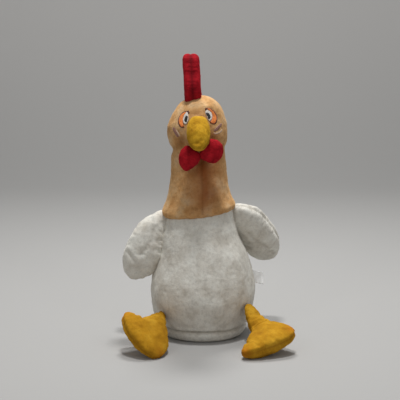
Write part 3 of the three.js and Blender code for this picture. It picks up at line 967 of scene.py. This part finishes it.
def make_comb(cushions):
    def place(y, z, w):
        return np.array([COMB_X + COMB_LEAN * (z - COMB_Z) - w, y, z])

    obj = cushions["comb"].place(place, 51, width=2.2, depth=1.5, roll=0.2, gather=0.08)
    lump(obj, (0.5, 11, 52))
    pile(obj, 53, 0.7)
    finish_piece(obj, RED, "red_plush", panels("comb", "left", "right"))
    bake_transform(obj)


def make_wattles(cushions):
    def place(x, z, w):
        return np.array([lean_x(WATTLE_Z) + x, WATTLE_Y - w, z])

    for side in HAND:
        cushion = cushions[f"wattle_{side}"]
        obj = cushion.place(place, 61, width=0.9, depth=0.8, roll=0.3, gather=0.7)
        lump(obj, (0.45, 8, 62))
        pile(obj, 63, 0.6)
        finish_piece(obj, RED, "red_plush", panels(f"wattle_{side}", "front", "back"))
        x, y, z = joint_at(f"wattle_{side}_swing") * MM
        start, end = (x, y, z + WATTLE_BEND), (x, y, z - WATTLE_BEND)
        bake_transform(obj)
        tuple(start)
        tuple(end)


def make_tail(cushions):
    place = frame_of(TAIL_ROOT, (1, 0, 0), TAIL_WAY, -1)
    obj = cushions["tail"].place(place, 71, width=1.1, depth=1.0, roll=0.35, gather=0.8)
    lump(obj, (0.6, 11, 72))
    pile(obj, 73)
    finish_piece(obj, WHITE, "white_plush", panels("tail", "top", "under"))
    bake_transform(obj)


# ---------- face ----------

# half its width, half its height, and the y and z of its middle, ring by ring from the face out
BEAK_RINGS = [
    [8.6, 12.6, -24, 224.6], [9.8, 13.2, -29, 224.4], [11, 13, -33.5, 223.8],
    [11.7, 12.2, -38, 222.4], [11.8, 11.2, -42, 220.2], [11, 10, -45.6, 217.4],
    [9.8, 8.8, -48.8, 214.4], [7.8, 7, -51.6, 211.4], [5, 4.6, -53.8, 208.8],
    [1.6, 1.6, -55, 207.4],
]


def make_beak():
    rings = []
    for half, tall, y, z in smooth_line(BEAK_RINGS, 0.9):
        turn = np.arange(BEAK_COLS) * 2 * math.pi / BEAK_COLS
        over, up = np.cos(turn), np.sin(turn)
        square = np.where(up > 0, 0.6, 1.0)  # squarer above than below
        x = lean_x(z) + BEAK_X + half * (1 - 0.1 * up) * np.sign(over) * np.abs(over) ** square
        height = tall * np.sign(up) * np.abs(up) ** square
        rings.append(np.column_stack([x, y - 0.22 * height + 2.2, z + height]))
    obj = new_object("beak_plush", *rings_mesh(rings))
    face_outwards(obj)
    lump(obj, (0.55, 12, 81), (0.3, 5.5, 82))
    x = lean_x(BEAK_Z) + BEAK_X
    dent(obj, (x - 1.5, -52.5, 212.5), (3.6, 4, 2.2), 1.5)
    dent(obj, (x + 2.5, -52.5, 215.5), (2.6, 4, 1.6), 0.7)
    for side in (-1, 1):
        line = [[x + side * r[0] * 0.99, r[2] + 2.4, r[3] - 2] for r in BEAK_RINGS[2:9]]
        seam(obj, line, width=0.9, depth=0.7, roll=0.25, gather=0.5, seed=83)
    pile(obj, 84, 0.7)
    finish_piece(obj, BEAK_YELLOW, "yellow_plush", ["beak_cover", "beak_stuffing"])
    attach(obj, "head")


# [x from the face's middle, z] round each patch. stitch is the way of the threads, in degrees, and
# shift moves the whole eye
EYES = {
    "left": {
        "outline": [[-8.9, 240.2], [-11.8, 239.4], [-14.8, 237.2], [-17.4, 233.5], [-18.5, 229.9],
                    [-17.9, 226.6], [-16.4, 224.4], [-14.3, 223.8], [-12.3, 224.3], [-12.7, 227],
                    [-13.3, 229.7], [-12.6, 233], [-11.1, 236.2], [-8.4, 239]],
        "orange": [[-9.6, 239.4], [-12.8, 238], [-15.6, 235.2], [-17.4, 231.1], [-17.2, 227.8],
                   [-15.9, 225.1], [-14.3, 224.5], [-12.6, 225], [-13, 227.2], [-13.3, 229.7],
                   [-12.7, 232.7], [-11.3, 235.7], [-9.2, 238.4]],
        "white": [[-8.4, 239.4], [-7.5, 238.1], [-7.2, 235.3], [-7.5, 231.5], [-8.6, 229],
                  [-10.1, 227.2], [-12.2, 228.2], [-13.1, 230.5], [-12.8, 233], [-11.5, 235.9],
                  [-9.7, 238.5]],
        "black": [[-9, 235.7], [-7.8, 235], [-8.2, 232.5], [-9, 229.8], [-10.5, 229.3], [-11.6, 230.8],
                  [-10.9, 233], [-10, 234.9]],
        "spot": [[-8.3, 239.9], [-7.1, 240.8], [-6, 239.5], [-6.3, 237.8], [-7.4, 238.4]],
        "stitch": 20,
        "shift": (0.1, 1.3),
    },
    "right": {
        "outline": [[10.3, 244], [13, 243.6], [15.8, 242], [18.6, 239.2], [20.1, 236.1], [20.6, 232.7],
                    [19.8, 229.5], [18.1, 227.4], [15.7, 227.2], [13.7, 228.1], [12.5, 229.6],
                    [13.9, 231.3], [15.3, 233.9], [15.1, 237.1], [13.8, 239.9], [11.5, 242.3]],
        "orange": [[11.1, 243.5], [14, 242.5], [16.9, 239.9], [19, 236.4], [19.8, 232.9], [18.9, 229.9],
                   [17.4, 228.1], [15.7, 227.9], [14, 228.6], [13, 229.7], [14.2, 231.3],
                   [15.2, 233.9], [14.9, 237.1], [13.6, 239.8], [11.5, 241.8]],
        "white": [[9, 240.9], [10.9, 241.6], [13.6, 239.9], [15, 237.1], [15.2, 234], [14, 231.6],
                  [12.3, 230.6], [11, 231.7], [10, 234.1], [9, 236.8], [8.4, 239]],
        "black": [[9.1, 238.8], [11.3, 238.6], [12.7, 236.6], [13.4, 234.5], [12.5, 232.8], [11, 232.6],
                  [10.4, 234.9], [9.3, 237]],
        "spot": [[8.4, 243], [9.4, 243.9], [10.5, 243.2], [10.2, 241.7], [8.8, 241.5]],
        "stitch": 150,
        "shift": (1.8, 1.2),
    },
}
# each mark is a dark crescent with a pale one beside it
CHEEK_MARKS = {
    "cheek_mark_left": (
        [[-23.6, 224.6], [-21.8, 224.2], [-20.6, 221.6], [-19.2, 218.6], [-18.8, 215.6],
         [-20, 215], [-21.8, 217.4], [-23.6, 220.6], [-24.4, 223.2]],
        [[-21.4, 223.2], [-19.6, 222], [-17.9, 219], [-17, 216.4], [-17.9, 216],
         [-19.6, 218.2], [-21, 220.8]],
    ),
    "cheek_mark_right": (
        [[18, 222.6], [20.4, 224.6], [23.2, 227.2], [25.6, 228.8], [26.6, 227.4], [24.6, 224.6],
         [21.6, 222], [18.6, 221]],
        [[17.6, 219.8], [21, 219.9], [24.4, 221.2], [26.4, 222.6], [26.6, 221.2], [24.4, 219.4],
         [21, 218.2], [18, 218.4]],
    ),
}


def make_face(tree):
    for side, eye in EYES.items():
        name = f"eye_{side}"
        stitch = eye["stitch"]
        parts = (
            ("outline", 0.25, stitch, BROWN_THREAD, "black_thread"),
            ("orange", 0.5, stitch, ORANGE_THREAD, "orange_thread"),
            ("white", 0.6, 90 - stitch, WHITE_THREAD, "white_thread"),
            ("black", 1.0, 0, BLACK_THREAD, "black_thread"),
            ("spot", 0.5, 45, BROWN_THREAD, "black_thread"),
        )
        for part, lift, turn, material, slot in parts:
            cut = np.array(eye[part]) + eye["shift"]
            stands_for = [f"{name}_{part}"] if part in ("orange", "white", "black") else ()
            patch(f"{name}_{part}_thread", tree, cut, lift, turn, material, slot, stands_for)
    for name, (dark, pale) in CHEEK_MARKS.items():
        slot = "mauve_thread"
        patch(f"{name}_thread", tree, dark, 0.15, 60, MAUVE_THREAD, slot, [name], domed=0.3)
        patch(f"{name}_pale_thread", tree, pale, 0.1, 60, PALE_THREAD, slot, domed=0.25)


# ---------- label ----------


def make_label():
    """A small tape that leaves the side seam and looks up a little."""
    low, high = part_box("sewn_in_label")
    low, high = np.array(low) / MM, np.array(high) / MM
    inner = low[0] - LABEL_CAUGHT
    wide, tall = high[0] - inner + 1.5, high[2] - low[2] - 0.4
    cols, rows = 16, 18
    layers = []
    for face in (-1, 1):
        for v in np.arange(rows + 1) / rows:
            for u in np.arange(cols + 1) / cols:
                curl = 0.9 * math.sin(2.4 * v + 0.6) * u * u - 0.5 * u + 4 * v * u
                sag = -3 * u + 0.25 * math.sin(5 * v) * u
                x = inner + wide * u - 0.5 * u * v
                z = low[2] + tall * v + sag + 1.5
                layers.append([x, curl + face * LABEL_THICK / 2, z])
    across = cols + 1
    n = (rows + 1) * across
    faces = []
    for j in range(rows):
        for i in range(cols):
            a = j * across + i
            quad = (a, a + 1, a + across + 1, a + across)
            faces += [quad, tuple(n + k for k in reversed(quad))]
    border = [
        *range(cols), *range(cols, n - 1, across), *range(n - 1, n - across, -1),
        *range(n - across, 0, -across),
    ]
    faces += [(b, a, n + a, n + b) for a, b in zip(border, border[1:] + border[:1])]
    obj = new_object("label_tab", layers, faces)
    finish_piece(obj, LABEL_CLOTH, "label_cloth", replaces=["sewn_in_label"])
    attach(obj, "torso")


# ---------- studio ----------


def make_studio():
    """A pale paper sweep, floor and wall in one, lit softly from above. Its colour is painted light:
    darker on the floor, lighter up the wall.
    """
    material = bpy.data.materials.new("sweep_paper")
    material.use_nodes = True
    tree = material.node_tree
    shader = tree.nodes["Principled BSDF"]
    coords = node(tree, "ShaderNodeTexCoord")
    height = node(tree, "ShaderNodeSeparateXYZ")
    link(tree, coords, "Object", height, 0)
    # painted light: the paper is darker on the floor and lighter up the wall
    stops = [(0, linear((166, 165, 163))), (0.45, linear((212, 210, 207)))]
    painted_light_ramp = ramp(tree, height, stops, out="Z")
    link(tree, painted_light_ramp, "Color", shader, "Base Color")
    set_inputs(shader, {"Roughness": 0.9, "Specular IOR Level": 0.1})
    half, back, bend, tall, steps = 7, 0.9, 0.9, 4.0, 24  # metres, but for the steps
    profile = [[-half, 0], [back, 0]]
    for k in range(1, steps + 1):
        a = math.pi / 2 * k / steps
        profile.append([back + bend * math.sin(a), bend * (1 - math.cos(a))])
    profile.append([back + bend, tall])
    points = [[x / MM, y / MM, z / MM] for y, z in profile for x in (-half, half)]
    faces = [(2 * k, 2 * k + 1, 2 * k + 3, 2 * k + 2) for k in range(len(profile) - 1)]
    sweep = new_object("sweep", points, faces)
    sweep.data.materials.append(material)

    world = bpy.data.worlds.new("studio")
    bpy.context.scene.world = world
    world.use_nodes = True
    background = world.node_tree.nodes["Background"]
    set_inputs(background, {"Color": (0.98, 0.99, 1, 1), "Strength": 0.37})

    def area(name, place, aim, size, power):
        data = bpy.data.lights.new(name, "AREA")
        data.shape, data.size, data.size_y, data.energy = "RECTANGLE", *size, power
        lamp = bpy.data.objects.new(name, data)
        lamp.location = place
        lamp.rotation_euler = (Vector(aim) - Vector(place)).to_track_quat("-Z", "Y").to_euler()
        bpy.context.scene.collection.objects.link(lamp)

    area("overhead", (0.03, 0.36, 1.13), (0, 0.02, 0), (0.24, 0.2), 8)
    area("top_front", (0.02, -0.15, 1.2), (0, -0.02, 0), (0.13, 0.1), 7.4)
    for side, power in (("left", 1.6), ("right", 1.5)):
        area(f"{side}_fill", (0.9 * HAND[side], -1.25, 0.95), (0, 0, 0.12), (0.3, 0.3), power)

    camera = bpy.data.cameras.new("camera")
    camera.lens, camera.sensor_width, camera.sensor_fit = 99, 36, "HORIZONTAL"
    eye = bpy.data.objects.new("camera", camera)
    eye.location = (-0.003, -1.150, 0.352)
    eye.rotation_euler = (math.radians(79.8), 0, 0)
    bpy.context.scene.collection.objects.link(eye)
    bpy.context.scene.camera = eye
    bpy.context.scene.view_settings.view_transform = "Standard"


# ---------- the whole chicken ----------

make_studio()
cushions = cut_cushions()
simulate()
for cushion in cushions.values():
    cushion.settle()
make_body()
neck_cover, head_cover = split_head(*make_neck_and_head())
face = face_tree(head_cover)
for name, cover in (("neck", neck_cover), ("head", head_cover)):
    finish_piece(cover, TAN, "tan_plush", panels(name, "left", "right"))
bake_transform(neck_cover)
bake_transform(head_cover)
make_beak()
make_face(face)
make_comb(cushions)
make_wattles(cushions)
make_wings(cushions)
make_feet(cushions)
make_tail(cushions)
make_label()
